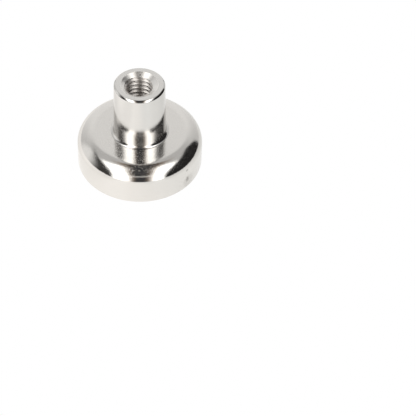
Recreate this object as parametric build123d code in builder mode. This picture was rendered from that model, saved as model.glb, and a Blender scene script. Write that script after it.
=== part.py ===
from build123d import *
import os
from math import cos, radians, sin, tan

# Pot magnet with a threaded stem, about 25 mm across.
# A turned steel pot holds a sintered magnet disc, glued into its recess. A
# turned threaded bush stands on the closed end of the pot: its spigot is
# pressed into the pot's centre hole and ends flush with the recess floor.
# Millimetres, +Z along the common axis. The origin is the centre of the
# pulling face, on the plane of the pot's open rim, and the stem points up.

# ---- pot ----
pot_d = 25.0              # outside diameter
pot_h = 7.8               # rim to flat top
shoulder_across = 3.8     # the shoulder is a quarter ellipse: inwards from the side wall
shoulder_drop = 3.2       # and down from the flat top
rim_edge_r = 0.2          # broken outer edge of the rim
recess_d = 20.4           # bore that takes the magnet, with 0.2 mm round it
recess_depth = 5.3        # rim to recess floor
recess_chamfer = 0.25     # broken inner edge of the rim
centre_hole_d = 6.0       # takes the bush's spigot

# ---- magnet disc ----
magnet_d = 20.0
magnet_h = 5.0
magnet_edge_r = 0.3       # tumbled and plated edge
magnet_set_back = 0.2     # pulling face of the disc, behind the rim plane

# ---- adhesive ----
glue_level = 1.0          # glue in the gap stops this far behind the rim plane

# ---- threaded bush ----
stem_d = 10.0             # at the top face
stem_draft = 1.2          # the stem widens this many degrees towards the pot
total_h = 20.0            # rim plane to the stem's top face
stem_top_chamfer = 0.32
stem_top_round = 0.3      # eases both corners of the top chamfer
foot_flare_h = 0.65       # hollow fillet from the stem's side down to the pot
foot_flare_angle = 80.0   # how far the fillet turns, short of the flat by a thin lip
tapping_d = 5.0           # M6 x 1 thread, drawn at its tapping diameter
bore_depth = 11.0         # top face to the end of the full bore
drill_point_angle = 118.0
countersink_d = 7.35
countersink_angle = 120.0

os.makedirs("parts", exist_ok=True)

magnet_back_z = magnet_set_back + magnet_h
tip_h = tapping_d / 2 / tan(radians(drill_point_angle / 2))

# Pot: the outline is drawn as a half section with the shoulder's quarter
# ellipse, and the section is turned about Z. The recess and the centre hole are
# then cut, and both edges of the rim are broken.
with BuildPart() as pot:
    with BuildSketch(Plane.XZ):
        with BuildLine():
            Polyline(
                (pot_d / 2 - shoulder_across, pot_h),
                (0, pot_h),
                (0, 0),
                (pot_d / 2, 0),
                (pot_d / 2, pot_h - shoulder_drop),
            )
            EllipticalCenterArc(
                (pot_d / 2 - shoulder_across, pot_h - shoulder_drop),
                shoulder_across,
                shoulder_drop,
                start_angle=0,
                arc_size=90,
            )
        make_face()
    revolve(axis=Axis.Z)
    with BuildSketch(Plane.XY):
        Circle(recess_d / 2)
    extrude(amount=recess_depth, mode=Mode.SUBTRACT)
    with Locations((0, 0, pot_h)):
        Hole(centre_hole_d / 2, depth=pot_h - recess_depth)
    rim_edges = pot.edges().filter_by(GeomType.CIRCLE).group_by(Axis.Z)[0].sort_by(SortBy.RADIUS)
    chamfer(rim_edges[0], recess_chamfer)
    fillet(rim_edges[-1], rim_edge_r)
pot.part.label = "pot"
export_step(pot.part, "parts/pot.step")

# Threaded bush: a stem with a slight draft and a broken and rounded top edge.
# Its foot widens in a hollow fillet, tangent to the stem, and stands on the pot. A
# spigot as long as the pot's top is thick sits in the centre hole, and a blind
# tapped bore with a countersunk mouth and a drill point runs down the middle.
flare_top_r = stem_d / 2 + (total_h - pot_h - foot_flare_h) * tan(radians(stem_draft))
foot_flare_r = foot_flare_h / (sin(radians(foot_flare_angle)) - sin(radians(stem_draft)))
foot_r = flare_top_r + foot_flare_r * (cos(radians(stem_draft)) - cos(radians(foot_flare_angle)))
with BuildPart() as threaded_bush:
    with BuildSketch(Plane.XZ) as bush_section:
        with BuildLine():
            TangentArc(
                (flare_top_r, pot_h + foot_flare_h),
                (foot_r, pot_h),
                tangent=(tan(radians(stem_draft)), -1),
            )
            Polyline(
                (foot_r, pot_h),
                (centre_hole_d / 2, pot_h),
                (centre_hole_d / 2, recess_depth),
                (0, recess_depth),
                (0, total_h),
                (stem_d / 2, total_h),
                (flare_top_r, pot_h + foot_flare_h),
            )
        make_face()
        top_corner = bush_section.vertices().group_by(Axis.Y)[-1].sort_by(Axis.X)[-1]
        chamfer(top_corner, stem_top_chamfer)
        chamfer_ends = bush_section.vertices().filter_by(
            lambda v: v.Y > total_h - stem_top_chamfer - 0.01 and v.X > 1
        )
        fillet(chamfer_ends, stem_top_round)
    revolve(axis=Axis.Z)
    with Locations((0, 0, total_h)):
        CounterSinkHole(
            tapping_d / 2,
            countersink_d / 2,
            depth=bore_depth,
            counter_sink_angle=countersink_angle,
        )
    with BuildSketch(Plane.XZ.offset(0)):
        with BuildLine():
            Polyline(
                (0, total_h - bore_depth),
                (tapping_d / 2, total_h - bore_depth),
                (0, total_h - bore_depth - tip_h),
                close=True,
            )
        make_face()
    revolve(axis=Axis.Z, mode=Mode.SUBTRACT)
threaded_bush.part.label = "threaded_bush"
export_step(threaded_bush.part, "parts/threaded_bush.step")

# Magnet: a sintered disc with tumbled edges, set slightly back from the rim.
with BuildPart() as magnet:
    with BuildSketch(Plane.XY.offset(magnet_set_back)):
        Circle(magnet_d / 2)
    extrude(amount=magnet_h)
    fillet(magnet.edges().filter_by(GeomType.CIRCLE), magnet_edge_r)
magnet.part.label = "magnet"
export_step(magnet.part, "parts/magnet.step")

# Adhesive: a thin film behind the disc and the ring of glue in the gap round
# it. It is the space left in the recess above the glue level.
with BuildPart() as adhesive:
    with BuildSketch(Plane.XY.offset(glue_level)):
        Circle(recess_d / 2)
    extrude(amount=recess_depth - glue_level)
    add(magnet.part, mode=Mode.SUBTRACT)
adhesive.part.label = "adhesive"
export_step(adhesive.part, "parts/adhesive.step")
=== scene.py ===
import math

import bpy
import numpy as np
from mathutils import Matrix, Vector


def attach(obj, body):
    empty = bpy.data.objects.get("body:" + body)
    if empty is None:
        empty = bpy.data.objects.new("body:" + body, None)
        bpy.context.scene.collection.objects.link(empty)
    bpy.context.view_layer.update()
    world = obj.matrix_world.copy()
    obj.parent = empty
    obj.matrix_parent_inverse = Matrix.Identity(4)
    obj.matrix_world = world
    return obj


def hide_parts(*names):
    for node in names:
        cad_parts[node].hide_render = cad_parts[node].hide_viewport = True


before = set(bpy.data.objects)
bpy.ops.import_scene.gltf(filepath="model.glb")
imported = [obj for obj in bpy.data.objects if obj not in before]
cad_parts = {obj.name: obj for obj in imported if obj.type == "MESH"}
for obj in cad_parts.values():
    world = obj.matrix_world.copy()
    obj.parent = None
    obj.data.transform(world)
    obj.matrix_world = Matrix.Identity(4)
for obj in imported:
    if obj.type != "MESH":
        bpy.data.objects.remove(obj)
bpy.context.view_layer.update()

scene = bpy.context.scene
MM = 0.001

# ---------------------------------------------------------------- dimensions, in millimetres, as in the frame
POT_R, POT_H, RIM_EDGE = 12.5, 7.8, 0.2
SHOULDER_X, SHOULDER_Z = 3.8, 3.2  # the shoulder is a quarter ellipse
RECESS_R, RECESS_D, RECESS_CH = 10.2, 5.3, 0.25
HOLE_R = 3.0
MAG_R, MAG_H, MAG_EDGE, MAG_BACK = 10.0, 5.0, 0.3, 0.2
GLUE_Z = 1.0
STEM_R, TOP_Z, TOP_CH, TOP_ROUND = 5.0, 20.0, 0.32, 0.3
DRAFT, FLARE_H, FLARE_ANGLE = 1.2, 0.65, 80.0
CSK_R, CSK_TAN = 3.675, math.tan(math.radians(60))
MINOR_R, MAJOR_R, PITCH = 2.5, 3.0, 1.0
BORE_Z, TIP_Z = 9.0, 7.5


# ---------------------------------------------------------------- mesh helpers
def arc(cx, cz, r, a0, a1, n):
    """Points of an arc in the half section, angles in degrees from +r towards +z."""
    return [
        (cx + r * math.cos(math.radians(a0 + (a1 - a0) * i / n)), cz + r * math.sin(math.radians(a0 + (a1 - a0) * i / n)))
        for i in range(n + 1)
    ]


def rounded(points, closed=False):
    """A half section from corners (r, z, radius, steps): each corner with a radius becomes an arc, with a close support point on both sides."""
    out = []
    n = len(points)
    for i, p in enumerate(points):
        r, z = p[0], p[1]
        rad = p[2] if len(p) > 2 else 0.0
        steps = p[3] if len(p) > 3 else 5
        if rad <= 0 or (not closed and i in (0, n - 1)):
            out.append((r, z))
            continue
        a, b = points[(i - 1) % n], points[(i + 1) % n]
        p0 = np.array([r, z], float)
        va, vb = np.array(a[:2], float) - p0, np.array(b[:2], float) - p0
        la, lb = np.linalg.norm(va), np.linalg.norm(vb)
        va, vb = va / la, vb / lb
        half = math.acos(max(-1.0, min(1.0, float(va @ vb)))) / 2
        cut = rad / math.tan(half)
        bis = (va + vb) / np.linalg.norm(va + vb)
        centre = p0 + bis * rad / math.sin(half)
        t0, t1 = p0 + va * cut, p0 + vb * cut
        s = min(0.35 * rad, 0.3 * (la - cut), 0.03)
        if s > 0.001:
            out.append(tuple(t0 + va * s))
        a0 = math.atan2(*(t0 - centre)[::-1])
        a1 = math.atan2(*(t1 - centre)[::-1])
        d = (a1 - a0 + math.pi) % (2 * math.pi) - math.pi
        for k in range(steps + 1):
            w = a0 + d * k / steps
            out.append((centre[0] + rad * math.cos(w), centre[1] + rad * math.sin(w)))
        s = min(0.35 * rad, 0.3 * (lb - cut), 0.03)
        if s > 0.001:
            out.append(tuple(t1 + vb * s))
    return out


def subdivided(points, longest):
    """The same line with no span longer than longest."""
    out = [points[0]]
    for a, b in zip(points, points[1:]):
        n = max(1, math.ceil(math.hypot(b[0] - a[0], b[1] - a[1]) / longest))
        out += [(a[0] + (b[0] - a[0]) * k / n, a[1] + (b[1] - a[1]) * k / n) for k in range(1, n + 1)]
    return out


def build(name, verts, faces, face_slots=None):
    """A smooth-shaded object from vertices in millimetres."""
    mesh = bpy.data.meshes.new(name)
    mesh.from_pydata((np.asarray(verts) * MM).tolist(), [], faces)
    mesh.polygons.foreach_set("use_smooth", [True] * len(mesh.polygons))
    if face_slots is not None:
        mesh.polygons.foreach_set("material_index", face_slots)
    mesh.validate()
    mesh.update()
    obj = bpy.data.objects.new(name, mesh)
    scene.collection.objects.link(obj)
    return obj


def revolve(section, n, closed=False):
    """Vertices and outward faces of a section turned about Z. The section runs so that the material is on its left when looking along it from outside:
    from the axis at the bottom, out and up, and back to the axis at the top. closed joins its last point to its first."""
    verts, rows, faces, span = [], [], [], []
    ang = np.arange(n) * 2 * math.pi / n
    cs, sn = np.cos(ang), np.sin(ang)
    for r, z in section:
        if r < 1e-9:
            rows.append([len(verts)])
            verts.append((0.0, 0.0, z))
        else:
            rows.append(list(range(len(verts), len(verts) + n)))
            verts.extend(zip(r * cs, r * sn, [z] * n))
    pairs = list(zip(range(len(rows) - 1), range(1, len(rows))))
    if closed:
        pairs.append((len(rows) - 1, 0))
    for k, (i, j) in enumerate(pairs):
        a, b = rows[i], rows[j]
        for t in range(n):
            u = (t + 1) % n
            if len(a) == 1 and len(b) == 1:
                continue
            if len(a) == 1:
                faces.append((a[0], b[u], b[t]))
            elif len(b) == 1:
                faces.append((a[t], a[u], b[0]))
            else:
                faces.append((a[t], a[u], b[u], b[t]))
            span.append(k)
    return verts, faces, span


# ---------------------------------------------------------------- shader helper: plain arithmetic on node sockets
class Field:
    """A number in a node tree, so that a pattern can be written as a formula."""

    tree = None

    def __init__(self, socket):
        self.socket = socket

    @staticmethod
    def of(v):
        return v

    @classmethod
    def op(cls, kind, *args, clamp=False):
        node = cls.tree.nodes.new("ShaderNodeMath")
        node.operation = kind
        node.use_clamp = clamp
        for i, a in enumerate(args):
            if isinstance(a, Field):
                cls.tree.links.new(a.socket, node.inputs[i])
            else:
                node.inputs[i].default_value = float(a)
        return cls(node.outputs[0])

    def __add__(self, o): return Field.op("ADD", self, o)
    def __radd__(self, o): return Field.op("ADD", o, self)
    def __sub__(self, o): return Field.op("SUBTRACT", self, o)
    def __rsub__(self, o): return Field.op("SUBTRACT", o, self)
    def __mul__(self, o): return Field.op("MULTIPLY", self, o)
    def __rmul__(self, o): return Field.op("MULTIPLY", o, self)
    def __truediv__(self, o): return Field.op("DIVIDE", self, o)
    def __neg__(self): return Field.op("MULTIPLY", self, -1.0)


def fabs(a): return Field.op("ABSOLUTE", a)
def fmin(a, b): return Field.op("MINIMUM", a, b)
def fmax(a, b): return Field.op("MAXIMUM", a, b)
def fsqrt(a): return Field.op("SQRT", a)
def fsin(a): return Field.op("SINE", a)
def fpow(a, b): return Field.op("POWER", a, b)
def clamp01(a): return Field.op("ADD", a, 0.0, clamp=True)


def step(x, edge, width):
    """0 below edge, 1 above it, smooth over width."""
    node = Field.tree.nodes.new("ShaderNodeMapRange")
    node.interpolation_type = "SMOOTHSTEP"
    node.inputs["From Min"].default_value = 0.0
    node.inputs["From Max"].default_value = 1.0
    t = (x - edge) / width + 0.5
    Field.tree.links.new(t.socket, node.inputs["Value"])
    return Field(node.outputs["Result"])


def between(x, lo, hi, width):
    return step(x, lo, width) * (1.0 - step(x, hi, width))


def colour_mix(fac, a, b):
    """Mixes two colours, each a tuple or a socket."""
    node = Field.tree.nodes.new("ShaderNodeMix")
    node.data_type = "RGBA"
    if isinstance(fac, Field):
        Field.tree.links.new(fac.socket, node.inputs["Factor"])
    else:
        node.inputs["Factor"].default_value = fac
    for key, v in (("A", a), ("B", b)):
        s = [i for i in node.inputs if i.name == key and i.type == "RGBA"][0]
        if isinstance(v, tuple):
            s.default_value = (*v, 1.0)
        else:
            Field.tree.links.new(v, s)
    return [o for o in node.outputs if o.type == "RGBA"][0]


def separate(vector_socket):
    node = Field.tree.nodes.new("ShaderNodeSeparateXYZ")
    Field.tree.links.new(vector_socket, node.inputs[0])
    return Field(node.outputs[0]), Field(node.outputs[1]), Field(node.outputs[2])


def object_point():
    """The surface point in millimetres in the row frame."""
    node = Field.tree.nodes.new("ShaderNodeTexCoord")
    scale = Field.tree.nodes.new("ShaderNodeVectorMath")
    scale.operation = "SCALE"
    scale.inputs["Scale"].default_value = 1000.0
    Field.tree.links.new(node.outputs["Object"], scale.inputs[0])
    return scale.outputs[0]


def noise(vector, scale, detail=2.0, rough=0.5, stretch=None, distortion=0.0):
    t = Field.tree
    if stretch is not None:
        m = t.nodes.new("ShaderNodeMapping")
        m.inputs["Scale"].default_value = stretch
        t.links.new(vector, m.inputs["Vector"])
        vector = m.outputs[0]
    n = t.nodes.new("ShaderNodeTexNoise")
    n.inputs["Scale"].default_value = scale
    n.inputs["Detail"].default_value = detail
    n.inputs["Roughness"].default_value = rough
    n.inputs["Distortion"].default_value = distortion
    t.links.new(vector, n.inputs["Vector"])
    return Field(n.outputs["Fac"])


def combine(x, y, z):
    n = Field.tree.nodes.new("ShaderNodeCombineXYZ")
    for i, v in enumerate((x, y, z)):
        if isinstance(v, Field):
            Field.tree.links.new(v.socket, n.inputs[i])
        else:
            n.inputs[i].default_value = v
    return n.outputs[0]


def material(name):
    m = bpy.data.materials.new(name)
    m.use_nodes = True
    Field.tree = m.node_tree
    b = m.node_tree.nodes["Principled BSDF"]
    return m, b


def link(a, b):
    Field.tree.links.new(a.socket if isinstance(a, Field) else a, b)


def bump(height, strength, distance, normal=None):
    n = Field.tree.nodes.new("ShaderNodeBump")
    n.inputs["Strength"].default_value = strength
    n.inputs["Distance"].default_value = distance
    link(height, n.inputs["Height"])
    if normal is not None:
        Field.tree.links.new(normal, n.inputs["Normal"])
    return n.outputs["Normal"]


# ---------------------------------------------------------------- camera
def make_camera():
    # the object's origin as seen by the camera, and the camera's tilt and roll
    e, roll = math.radians(47.155), 0.0418
    focal = 1467.95  # pixels of a 416 pixel frame
    dist = 23.8577 * POT_R
    u0, v0 = 140.046, 157.211
    origin = np.array([(u0 - 208) / focal, (v0 - 208) / focal, 1.0]) * dist
    c, s = math.cos(roll), math.sin(roll)
    turn = np.array([[c, -s, 0], [s, c, 0], [0, 0, 1]])
    z = turn @ np.array([0, -math.cos(e), -math.sin(e)])
    x = turn @ np.array([1.0, 0, 0])
    y = np.cross(z, x)
    place = -np.array([x @ origin, y @ origin, z @ origin])
    right, down, ahead = (np.array([x[i], y[i], z[i]]) for i in range(3))
    m = Matrix.Identity(4)
    for i in range(3):
        m[i][0], m[i][1], m[i][2], m[i][3] = right[i], -down[i], -ahead[i], place[i] * MM
    data = bpy.data.cameras.new("camera")
    data.sensor_width = 36.0
    data.lens = 18.0 * focal / 208
    data.clip_start, data.clip_end = 0.01, 20
    cam = bpy.data.objects.new("camera", data)
    cam.matrix_world = m
    scene.collection.objects.link(cam)
    scene.camera = cam


make_camera()


# ---------------------------------------------------------------- studio: a world of soft boxes, a light table and a pale backdrop
def make_world():
    world = bpy.data.worlds.new("studio")
    scene.world = world
    world.use_nodes = True
    t = Field.tree = world.node_tree
    t.nodes.clear()
    tc = t.nodes.new("ShaderNodeTexCoord")
    nm = t.nodes.new("ShaderNodeVectorMath")
    nm.operation = "NORMALIZE"
    t.links.new(tc.outputs["Generated"], nm.inputs[0])
    x, y, z = separate(nm.outputs[0])
    az = Field.op("ARCTAN2", x, -y) * (180 / math.pi)  # 0 to the front, + to the right
    el = Field.op("ARCSINE", z) * (180 / math.pi)
    up = fmax(el, 0.0)
    # two soft boxes side by side, joined behind
    box = (1.0 - step(fabs(x - 0.010), 0.665 - 0.03 * step(y, -0.12, 0.2), 0.15)) * (1.0 - step(y, 0.02, 0.26))
    # the camera's slot between them
    xs = fabs(x - 0.080 + 0.11 * fmax(z - 0.45, 0.0))
    half = 0.250 + 0.010 * step(el, 38.0, 8.0) - 0.036 * step(el, 64.0, 18.0)
    edge = 0.34 - 0.09 * step(el, 43.0, 10.0)
    reach = 1.0 - step(y, 0.29, 0.12)
    slot = (1.0 - step(xs, half, edge)) * reach
    fringe = (1.0 - step(xs, half + 0.025, edge)) * reach
    bar = between(el, 30.0, 38.2, 4.5) * (1.0 - step(fabs(az), 100.0, 10.0))
    # dark flags outside the boxes, with the wall behind
    left = step(-az, 82.0 + 3.3 * fpow(up / 22.0, 3.1), 32.0)
    right = step(az, 127.0 + up * 0.12, 4.0)
    over = step(el, 48.0, 8.0)
    off = fabs(az - 6.0)
    wall_grey = 0.66 + 0.28 * step(off, 146.0, 40.0) + 0.30 * between(-az, 60.0, 116.0, 14.0)
    shade = step(el, 43.0 + 11.0 * step(off, 152.0, 36.0), 8.0)
    wall_grey = wall_grey * (1.0 - 0.09 * step(el, 41.0, 12.0)) * (1.0 - shade) + 0.57 * shade
    wall = colour_mix(wall_grey, (0.0, 0.0, 0.0), (1.0, 0.99, 0.975))
    flag = colour_mix(step(az, 0.0, 10.0), (0.052, 0.049, 0.047), (0.022, 0.021, 0.021))
    base = colour_mix(fmax(fmax(left, right), over), flag, wall)
    lit = colour_mix(box, base, (2.4, 2.38, 2.34))
    warm = colour_mix(fringe, lit, (0.52, 0.37, 0.24))
    hole = colour_mix(bar, (0.050, 0.050, 0.052), (0.52, 0.51, 0.49))
    above = colour_mix(slot, warm, hole)
    # the ground past the table's edge
    low = colour_mix(step(-el, 22.0, 16.0), (0.03, 0.028, 0.026), (0.75, 0.74, 0.72))
    out = colour_mix(step(el, -8.0, 3.0), low, above)
    bg = t.nodes.new("ShaderNodeBackground")
    t.links.new(out, bg.inputs["Color"])
    bg.inputs["Strength"].default_value = 1.0
    o = t.nodes.new("ShaderNodeOutputWorld")
    t.links.new(bg.outputs[0], o.inputs["Surface"])
    world.cycles.sampling_method = "MANUAL"
    world.cycles.sample_map_resolution = 1024


def make_floor():
    # a lit and glowing white table top, as the metal sees it; its glow is painted unevenly, warmer and brighter to the
    # left and greyer and dimmer to the right and behind, a painted light and shade across the table
    v = [(-88, -60, 0), (70, -60, 0), (70, 80, 0), (-88, 80, 0)]
    floor = build("table_light", v, [(0, 1, 2, 3)])
    m = bpy.data.materials.new("table_white")
    m.use_nodes = True
    t = Field.tree = m.node_tree
    t.nodes.clear()
    dif = t.nodes.new("ShaderNodeBsdfDiffuse")
    dif.inputs["Color"].default_value = (0.22, 0.22, 0.22, 1)
    em = t.nodes.new("ShaderNodeEmission")
    x, y, z = separate(object_point())
    # painted light and shade: the glow's tint and strength vary across the table
    link(colour_mix(step(x, 4.0, 16.0), (1.01, 0.985, 0.953), (0.865, 0.862, 0.845)), em.inputs["Color"])
    link(0.99 + 0.10 * step(-x, 28.0, 20.0) - 0.13 * step(y, 1.0, 18.0) - 0.05 * step(x, 17.0, 6.0) - 0.08 * between(-x, 11.0, 22.0, 6.0), em.inputs["Strength"])
    lit = t.nodes.new("ShaderNodeAddShader")
    t.links.new(dif.outputs[0], lit.inputs[0])
    t.links.new(em.outputs[0], lit.inputs[1])
    gloss = t.nodes.new("ShaderNodeBsdfGlossy")
    gloss.inputs["Roughness"].default_value = 0.08
    fresnel = t.nodes.new("ShaderNodeFresnel")
    fresnel.inputs["IOR"].default_value = 1.45
    top = t.nodes.new("ShaderNodeMixShader")
    link(Field(fresnel.outputs[0]) * 0.4, top.inputs[0])
    t.links.new(lit.outputs[0], top.inputs[1])
    t.links.new(gloss.outputs[0], top.inputs[2])
    geo = t.nodes.new("ShaderNodeNewGeometry")
    clear = t.nodes.new("ShaderNodeBsdfTransparent")
    mix = t.nodes.new("ShaderNodeMixShader")
    t.links.new(geo.outputs["Backfacing"], mix.inputs[0])
    t.links.new(top.outputs[0], mix.inputs[1])
    t.links.new(clear.outputs[0], mix.inputs[2])
    out = t.nodes.new("ShaderNodeOutputMaterial")
    t.links.new(mix.outputs[0], out.inputs["Surface"])
    floor.data.materials.append(m)
    floor.visible_camera = False
    # the same table top as the camera sees it, overexposed to plain white
    v = [(-900, -900, -0.02), (900, -900, -0.02), (900, 900, -0.02), (-900, 900, -0.02)]
    top = build("floor", v, [(0, 1, 2, 3)])
    m = bpy.data.materials.new("floor_white")
    m.use_nodes = True
    t = m.node_tree
    t.nodes.clear()
    em = t.nodes.new("ShaderNodeEmission")
    em.inputs["Color"].default_value = (1, 1, 1, 1)
    geo = t.nodes.new("ShaderNodeNewGeometry")
    clear = t.nodes.new("ShaderNodeBsdfTransparent")
    mix = t.nodes.new("ShaderNodeMixShader")
    t.links.new(geo.outputs["Backfacing"], mix.inputs[0])
    t.links.new(em.outputs[0], mix.inputs[1])
    t.links.new(clear.outputs[0], mix.inputs[2])
    out = t.nodes.new("ShaderNodeOutputMaterial")
    t.links.new(mix.outputs[0], out.inputs["Surface"])
    top.data.materials.append(m)
    top.visible_diffuse = top.visible_glossy = top.visible_transmission = top.visible_shadow = top.visible_volume_scatter = False


def make_backdrop():
    # a plain pale surround, which only the camera sees, so that the soft boxes don't show behind the object
    n = 48
    pts = [(0.0, -900.0)] + [(900 * math.cos(a), 900 * math.sin(a)) for a in np.linspace(-1.5, 1.5, 25)] + [(0.0, 900.0)]
    v, f, _ = revolve(pts, n)
    b = build("backdrop", v, f)
    m = bpy.data.materials.new("backdrop_white")
    m.use_nodes = True
    t = m.node_tree
    t.nodes.clear()
    em = t.nodes.new("ShaderNodeEmission")
    em.inputs["Color"].default_value = (1, 1, 1, 1)
    out = t.nodes.new("ShaderNodeOutputMaterial")
    t.links.new(em.outputs[0], out.inputs["Surface"])
    b.data.materials.append(m)
    b.visible_diffuse = b.visible_glossy = b.visible_transmission = b.visible_shadow = b.visible_volume_scatter = False


make_world()
make_floor()
make_backdrop()
scene.view_settings.view_transform = "Standard"


# ---------------------------------------------------------------- materials
def rough_bumpy(b, rough, height, depth_mm):
    """Roughness from a pattern, and fine relief of the given depth."""
    link(rough, b.inputs["Roughness"])
    n = bump(height, 1.0, depth_mm * MM)
    Field.tree.links.new(n, b.inputs["Normal"])


def spot(x, y, z, at, size, ragged, edge=0.5):
    """1 inside a small ragged mark centred at a point of the surface."""
    dx, dy, dz = ((c - a) / s for c, a, s in zip((x, y, z), at, size))
    d = fsqrt(dx * dx + dy * dy + dz * dz)
    return 1.0 - step(d + (ragged - 0.5) * 1.6, 1.0, edge)


def metal(name):
    m, b = material(name)
    b.inputs["Metallic"].default_value = 1.0
    p = object_point()
    x, y, z = separate(p)
    return m, b, p, x, y, z, fsqrt(x * x + y * y)


def pot_nickel():
    # bright nickel over a drawn and barrel-finished cup: fine pitting on the
    # shoulder, faint wipe marks on the flat, a few scuffs low on one side
    m, b, p, x, y, z, r = metal("nickel_pot")
    grain = noise(p, 4.2, 2.0, 0.6)
    pits = noise(p, 6.2, 2.0, 0.55)
    cloud = noise(p, 0.42, 3.0, 0.55)
    wipe = noise(p, 0.5, 3.0, 0.6, stretch=(0.35, 1.6, 1.0), distortion=0.6)
    flat = step(z, POT_H - 0.03, 0.05)
    side = 1.0 - step(z, POT_H - SHOULDER_Z, 0.6)
    crown = (1.0 - flat) * step(z, 6.2, 0.8)
    patch = spot(x, y, z, (-0.4, -10.7, 7.1), (3.4, 1.3, 1.3), cloud, 0.9)
    pitted = step(pits, 0.60 - 0.01 * patch, 0.06)
    specks = step(noise(p, 3.9, 2.0, 0.65), 0.60, 0.05) * patch * crown
    scuff = fmax(
        0.80 * spot(x, y, z, (9.88, -7.66, 2.15), (0.50, 0.50, 0.62), grain, 1.3),
        0.50 * spot(x, y, z, (9.80, -7.76, 4.72), (0.28, 0.28, 0.28), grain, 0.8),
    )
    scuff = fmax(scuff, 0.24 * spot(x, y, z, (10.1, -7.36, 1.6), (1.3, 1.5, 1.5), grain, 0.5))
    scuff = fmax(scuff, 0.09 * step(grain, 0.58, 0.10) * side * step(x, 4.0, 6.0))
    # two soft patches on the left of the shoulder, near the flat: rougher, and painted a little darker, a painted shade
    rough_patch_and_painted_shade = fmax(
        0.6 * spot(x, y, z, (-9.9, -3.0, 7.5), (1.2, 2.2, 1.0), cloud, 1.2),
        0.5 * spot(x, y, z, (-8.0, 5.6, 7.7), (1.3, 2.6, 1.0), cloud, 1.2),
    )
    rough = 0.04 + (0.16 - 0.12 * patch) * pitted * crown + (0.01 + (0.09 - 0.07 * patch) * step(grain, 0.62, 0.10)) * (1.0 - flat) + 0.15 * specks
    rough = rough + (0.055 + 0.16 * pitted) * flat + 0.05 * cloud + 0.03 * side + 0.20 * scuff + 0.10 * rough_patch_and_painted_shade * wipe
    link(rough, b.inputs["Roughness"])
    tone = 0.05 * (cloud - 0.5) + 0.07 * (wipe - 0.5)
    # random tone from cloud and wipe, made a little darker in the two left patches: painted shade
    tone_and_painted_shade = colour_mix(clamp01(0.5 + tone * 3.0 - 0.25 * rough_patch_and_painted_shade), (0.70, 0.684, 0.660), (0.75, 0.735, 0.712))
    link(colour_mix(scuff, tone_and_painted_shade, (0.30, 0.285, 0.27)), b.inputs["Base Color"])
    relief = grain * (0.5 - 0.35 * flat) + pits * (0.7 * crown + 0.25 * flat) + 0.38 * specks - scuff * 1.2
    link(bump(relief, 1.0, 0.009 * MM), b.inputs["Normal"])
    return m


def bush_nickel():
    # turned and plated; the countersink and the thread are left coarser
    m, b, p, x, y, z, r = metal("nickel_bush")
    b.inputs["Anisotropic"].default_value = 0.5
    b.inputs["Anisotropic Rotation"].default_value = 0.25
    tan = Field.tree.nodes.new("ShaderNodeTangent")
    tan.direction_type = "RADIAL"
    tan.axis = "Z"
    Field.tree.links.new(tan.outputs[0], b.inputs["Tangent"])
    inner = 1.0 - step(r, CSK_R + 0.04, 0.06)
    turned = noise(p, 1.0, 3.0, 0.6, stretch=(0.25, 0.25, 7.0))
    grain = noise(p, 4.5, 2.0, 0.6)
    pits = noise(p, 5.5, 2.0, 0.55)
    cloud = noise(p, 0.5, 2.0, 0.5)
    # dark specks at the back of the countersink: their dark colour is a painted reflection of the camera's lens, with a
    # rougher dent under it
    dent_and_lens_reflection = fmax(
        spot(x, y, z, (-0.10, 3.05, 19.62), (0.20, 0.16, 0.16), grain, 0.5),
        0.6 * spot(x, y, z, (0.25, 3.45, 19.85), (0.16, 0.14, 0.16), grain, 0.5),
    )
    mouth = step(z, TOP_Z - 0.72, 0.06)
    low = 1.0 - step(z, 12.0, 1.0)
    rubbed = inner * spot(x, y, z, (0.05, 3.1, 19.6), (0.65, 0.7, 0.6), cloud, 0.6)
    rough = 0.06 + 0.05 * grain + 0.04 * cloud + (0.27 - 0.05 * mouth) * inner + 0.08 * rubbed
    rough = rough + 0.12 * step(pits, 0.60, 0.08) * low + 0.2 * dent_and_lens_reflection
    link(rough, b.inputs["Roughness"])
    deep_painted_shade = inner * (1.0 - mouth)
    shade = colour_mix(cloud, (0.672, 0.662, 0.644), (0.712, 0.701, 0.682))
    # darker, browner colour deep in the thread, below the countersink: a painted shade in the hole
    shade = colour_mix(0.8 * deep_painted_shade * step(grain, 0.45, 0.4), shade, (0.68, 0.635, 0.60))
    # lighter colour over the countersink: a painted highlight
    shade = colour_mix(inner * mouth, shade, (0.86, 0.845, 0.82))
    # the dark specks at the countersink's back: a painted reflection of the camera's lens
    link(colour_mix(dent_and_lens_reflection, shade, (0.20, 0.19, 0.18)), b.inputs["Base Color"])
    link(bump(turned * 0.6 + grain * 0.3 + pits * 0.6 * low - dent_and_lens_reflection, 1.0, 0.005 * MM), b.inputs["Normal"])
    return m


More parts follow.
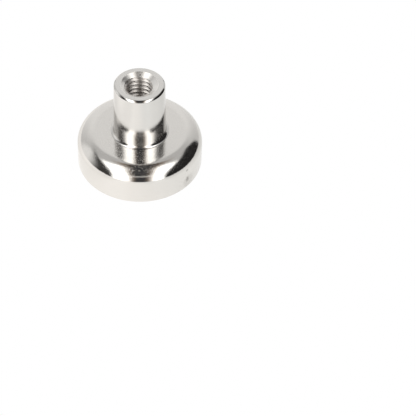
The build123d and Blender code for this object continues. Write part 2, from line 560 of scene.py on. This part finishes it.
def ground_rim():
    # the pulling face of the pot: ground flat and left grainy, with fine rings,
    # a few scratches, and small nicks that break the outer edge
    m, b, p, x, y, z, r = metal("ground_rim")
    ring = noise(combine(r, 0.0, 0.0), 9.0, 2.0, 0.7)
    grain = noise(p, 2.7, 4.0, 0.72)
    cloud = noise(p, 0.5, 3.0, 0.6)
    scratch = noise(p, 1.0, 2.0, 0.7, stretch=(0.5, 9.0, 1.0), distortion=0.3)
    cut = step(scratch, 0.66, 0.03) * step(cloud, 0.45, 0.2)
    edge = fmax(step(r, 12.20, 0.14), 1.0 - step(r, 10.48, 0.08))
    nicks = step(noise(p, 1.7, 3.0, 0.6), 0.60, 0.04) * step(r, 12.02, 0.22)
    link(0.34 + 0.10 * ring + 0.16 * step(grain, 0.5, 0.3) - 0.12 * edge + 0.10 * cut, b.inputs["Roughness"])
    base = colour_mix(clamp01(0.5 * cloud + 2.4 * (grain - 0.5) + 0.25), (0.30, 0.292, 0.28), (0.62, 0.605, 0.585))
    base = colour_mix(0.8 * edge, base, (0.80, 0.785, 0.765))
    base = colour_mix(0.6 * cut, base, (0.28, 0.27, 0.26))
    link(colour_mix(0.8 * nicks, base, (0.20, 0.19, 0.18)), b.inputs["Base Color"])
    link(bump(0.4 * ring + 1.2 * grain - 0.8 * cut - 1.4 * nicks, 1.0, 0.024 * MM), b.inputs["Normal"])
    return m


def magnet_nickel():
    # nickel on a sintered and tumbled disc: a light, slightly warm satin with a
    # fine mottle, and a few small chips in the plating along the edge
    m, b, p, x, y, z, r = metal("satin_nickel")
    grain = noise(p, 2.4, 4.0, 0.65)
    fine = noise(p, 9.0, 2.0, 0.6)
    cloud = noise(p, 0.32, 4.0, 0.6)
    rub = noise(p, 0.9, 4.0, 0.6, stretch=(1.6, 0.7, 1.0), distortion=1.6)
    face = 1.0 - step(z, MAG_BACK + 0.02, 0.02)
    rubbed = step(rub, 0.60, 0.14) * face
    chip = step(noise(p, 1.6, 3.0, 0.6), 0.66, 0.03) * step(r, MAG_R - 0.30, 0.12)
    link(0.30 + 0.14 * cloud + 0.12 * grain - 0.05 * rubbed + 0.25 * chip, b.inputs["Roughness"])
    base = colour_mix(clamp01(0.6 * cloud + 1.6 * (grain - 0.5) + 0.2), (0.64, 0.61, 0.575), (0.84, 0.815, 0.785))
    base = colour_mix(0.12 * rubbed, base, (0.90, 0.88, 0.86))
    link(colour_mix(chip, base, (0.16, 0.155, 0.15)), b.inputs["Base Color"])
    link(bump(grain * 0.8 + fine * 0.4 - 0.3 * rubbed - 2.0 * chip, 1.0, 0.014 * MM), b.inputs["Normal"])
    return m


def epoxy():
    # cast two-part epoxy, dark brown, glossy where it settled, with dust and bubbles
    m, b = material("epoxy")
    p = object_point()
    cloud = noise(p, 0.9, 3.0, 0.6)
    fine = noise(p, 6.0, 2.0, 0.6)
    bubble = step(fine, 0.66, 0.05)
    link(colour_mix(cloud, (0.020, 0.012, 0.008), (0.060, 0.034, 0.020)), b.inputs["Base Color"])
    link(0.16 + 0.20 * cloud + 0.35 * bubble, b.inputs["Roughness"])
    link(bump(cloud * 1.6 - bubble * 0.6, 1.0, 0.03 * MM), b.inputs["Normal"])
    b.inputs["IOR"].default_value = 1.55
    return m


pot_mat = pot_nickel()
bush_mat = bush_nickel()
rim_mat = ground_rim()
magnet_mat = magnet_nickel()
glue_mat = epoxy()


# ---------------------------------------------------------------- pot
def shoulder_section(n=48):
    """From the side wall up to the flat, in equal turns of the surface's normal."""
    out = []
    for i in range(n + 1):
        th = math.pi / 2 * i / n
        t = math.atan2(SHOULDER_Z * math.sin(th), SHOULDER_X * math.cos(th))
        out.append((POT_R - SHOULDER_X + SHOULDER_X * math.cos(t), POT_H - SHOULDER_Z + SHOULDER_Z * math.sin(t)))
    return out


def make_pot():
    sec = rounded(
        [
            (HOLE_R, POT_H),
            (HOLE_R, RECESS_D),
            (RECESS_R, RECESS_D),
            (RECESS_R, RECESS_CH, 0.04, 3),
            (RECESS_R + RECESS_CH, 0.0, 0.04, 3),
            (POT_R, 0.0, RIM_EDGE, 5),
            (POT_R, POT_H - SHOULDER_Z - 0.03),
            *shoulder_section(),
            (POT_R - SHOULDER_X - 0.03, POT_H),
        ],
        closed=True,
    )
    sec = subdivided(sec + [sec[0]], 1.2)[:-1]
    v, f, span = revolve(sec, 512, closed=True)
    slots = []
    for k in span:
        (r0, z0), (r1, z1) = sec[k], sec[(k + 1) % len(sec)]
        slots.append(1 if max(z0, z1) < 0.005 else 0)
    pot = build("pot_shell", v, f, slots)
    pot.data.materials.append(pot_mat)
    pot.data.materials.append(rim_mat)
    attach(pot, "root")
    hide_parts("pot")
    return pot


# ---------------------------------------------------------------- threaded bush
def foot_section():
    """From the pot's face up to the stem's side."""
    d, a = math.radians(DRAFT), math.radians(FLARE_ANGLE)
    z = POT_H + FLARE_H
    r = STEM_R + (TOP_Z - z) * math.tan(d)
    rad = FLARE_H / (math.sin(a) - math.sin(d))
    return arc(r + rad * math.cos(d), z + rad * math.sin(d), rad, 180 + FLARE_ANGLE, 180 + DRAFT, 16)


def make_bush():
    n = 256
    outer = rounded(
        [
            (0.0, RECESS_D),
            (HOLE_R, RECESS_D, 0.1, 3),
            (HOLE_R, POT_H + 0.002),
            *foot_section(),
            (STEM_R + TOP_CH * math.tan(math.radians(DRAFT)), TOP_Z - TOP_CH, TOP_ROUND, 8),
            (STEM_R - TOP_CH, TOP_Z, TOP_ROUND, 8),
            (CSK_R, TOP_Z, 0.03, 3),
            (CSK_R - 0.12, TOP_Z - 0.12 / CSK_TAN),
        ]
    )
    outer = subdivided(outer, 1.5)
    v, f, _ = revolve(outer, n)
    # the tapped hole: rows follow the helix, clamped to the countersink above and the drilled hole below
    z_top, z_bot = outer[-1][1], BORE_Z + 0.3
    r_top = outer[-1][0]
    # one pitch of the internal thread, crest inwards: (share of pitch, depth share)
    crest, root = 0.25, 0.12
    flank = (1 - crest - root) / 2
    keys = [0, crest, crest + flank, crest + flank + root, 1.0]
    depth = MAJOR_R - MINOR_R

    def thread(u):
        u = u % 1.0
        if u < keys[1]: d = 0.0
        elif u < keys[2]: d = (u - keys[1]) / flank
        elif u < keys[3]: d = 1.0
        else: d = 1.0 - (u - keys[3]) / flank
        return d

    m = 16
    us = [(k + 0.5) / m for k in range(m)]
    spread = np.linspace(-0.09, 0.09, 9)
    form = {u: float(np.mean([thread(u + w) for w in spread])) for u in us}

    def radius(zz, u):
        # crests and roots are eased under the plating, and the thread fades out over the last turn
        d = form[u]
        fade = min(1.0, max(0.0, (zz - z_bot) / 1.2))
        r = MINOR_R + depth * d * fade
        return max(r, r_top - (z_top - zz) * CSK_TAN)

    k0 = int(math.floor(z_bot - 2)) - 1
    rows = [(k, u) for k in range(k0, int(TOP_Z) + 2) for u in us]
    start = len(v)
    ids = {}
    ang = np.arange(n) * 2 * math.pi / n
    top_ring = list(range(start - n, start))
    grid = []
    for j, (k, u) in enumerate(rows):
        row = []
        for i in range(n):
            zz = (k + u + i / n) * PITCH + 0.24
            row.append(zz)
        grid.append(row)
    # keep only vertices between the two ends, and clamp the rest onto them
    verts = []
    index = np.full((len(rows), n), -1, int)
    bot_ring = []
    bottom = {}
    for i in range(n):
        bottom[i] = start + len(verts)
        verts.append((MINOR_R * math.cos(ang[i]), MINOR_R * math.sin(ang[i]), z_bot))
        bot_ring.append(bottom[i])
    tol = 0.012
    for j, (k, u) in enumerate(rows):
        for i in range(n):
            zz = grid[j][i]
            if zz <= z_bot + tol:
                index[j, i] = bottom[i]
            elif zz >= z_top - tol:
                index[j, i] = top_ring[i]
            else:
                r = radius(zz, u)
                index[j, i] = start + len(verts)
                verts.append((r * math.cos(ang[i]), r * math.sin(ang[i]), zz))
    faces = []
    for j in range(len(rows) - 1):
        for i in range(n):
            if i < n - 1:
                a, b = index[j, i], index[j, i + 1]
                d, c = index[j + 1, i], index[j + 1, i + 1]
            else:
                if j + 1 + m >= len(rows) + 0 and j + m >= len(rows):
                    b = top_ring[0]
                    c = top_ring[0]
                else:
                    b = index[j + m, 0] if j + m < len(rows) else top_ring[0]
                    c = index[j + 1 + m, 0] if j + 1 + m < len(rows) else top_ring[0]
                a, d = index[j, i], index[j + 1, i]
            q = []
            for w in (a, d, c, b):
                if not q or w != q[-1]:
                    q.append(int(w))
            if len(q) > 1 and q[0] == q[-1]:
                q.pop()
            if len(set(q)) >= 3 and len(set(q)) == len(q):
                faces.append(tuple(q))
    v += verts
    f += faces
    # the plain drilled hole below the thread and its cone
    lower = [(MINOR_R, z_bot - 0.05), (MINOR_R, BORE_Z + 0.03), (MINOR_R - 0.03, BORE_Z - 0.02), (0.0, TIP_Z)]
    prev = bot_ring
    for r, z in lower:
        if r > 0:
            ring = list(range(len(v), len(v) + n))
            v += [(r * math.cos(a), r * math.sin(a), z) for a in ang]
            f += [(prev[i], prev[(i + 1) % n], ring[(i + 1) % n], ring[i]) for i in range(n)]
            prev = ring
        else:
            v.append((0, 0, z))
            f += [(prev[i], prev[(i + 1) % n], len(v) - 1) for i in range(n)]
    bush = build("bush_turned", v, f)
    bush.data.materials.append(bush_mat)
    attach(bush, "root")
    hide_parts("threaded_bush")
    return bush


def make_magnet():
    b = MAG_BACK
    sec = rounded(
        [(0.0, b), (MAG_R, b, MAG_EDGE, 8), (MAG_R, b + MAG_H, MAG_EDGE, 4), (0.0, b + MAG_H)]
    )
    sec = subdivided(sec, 1.5)
    v, f, _ = revolve(sec, 256)
    mag = build("magnet_disc", v, f)
    mag.data.materials.append(magnet_mat)
    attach(mag, "root")
    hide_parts("magnet")


def make_glue():
    sec = [(0.0, 5.21), (9.72, 5.21), (10.0, 4.9), (10.005, GLUE_Z + 0.02)]
    sec += [(10.005 + 0.19 * t, GLUE_Z + 0.02 + 0.06 * math.sin(math.pi * t)) for t in (0.15, 0.3, 0.5, 0.7, 0.85)]
    sec += [(10.195, GLUE_Z + 0.02), (10.195, 5.29), (0.0, 5.29)]
    v, f, _ = revolve(sec, 256)
    g = build("epoxy_fill", v, f)
    g.data.materials.append(glue_mat)
    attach(g, "root")
    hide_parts("adhesive")


make_pot()
make_bush()
make_magnet()
make_glue()
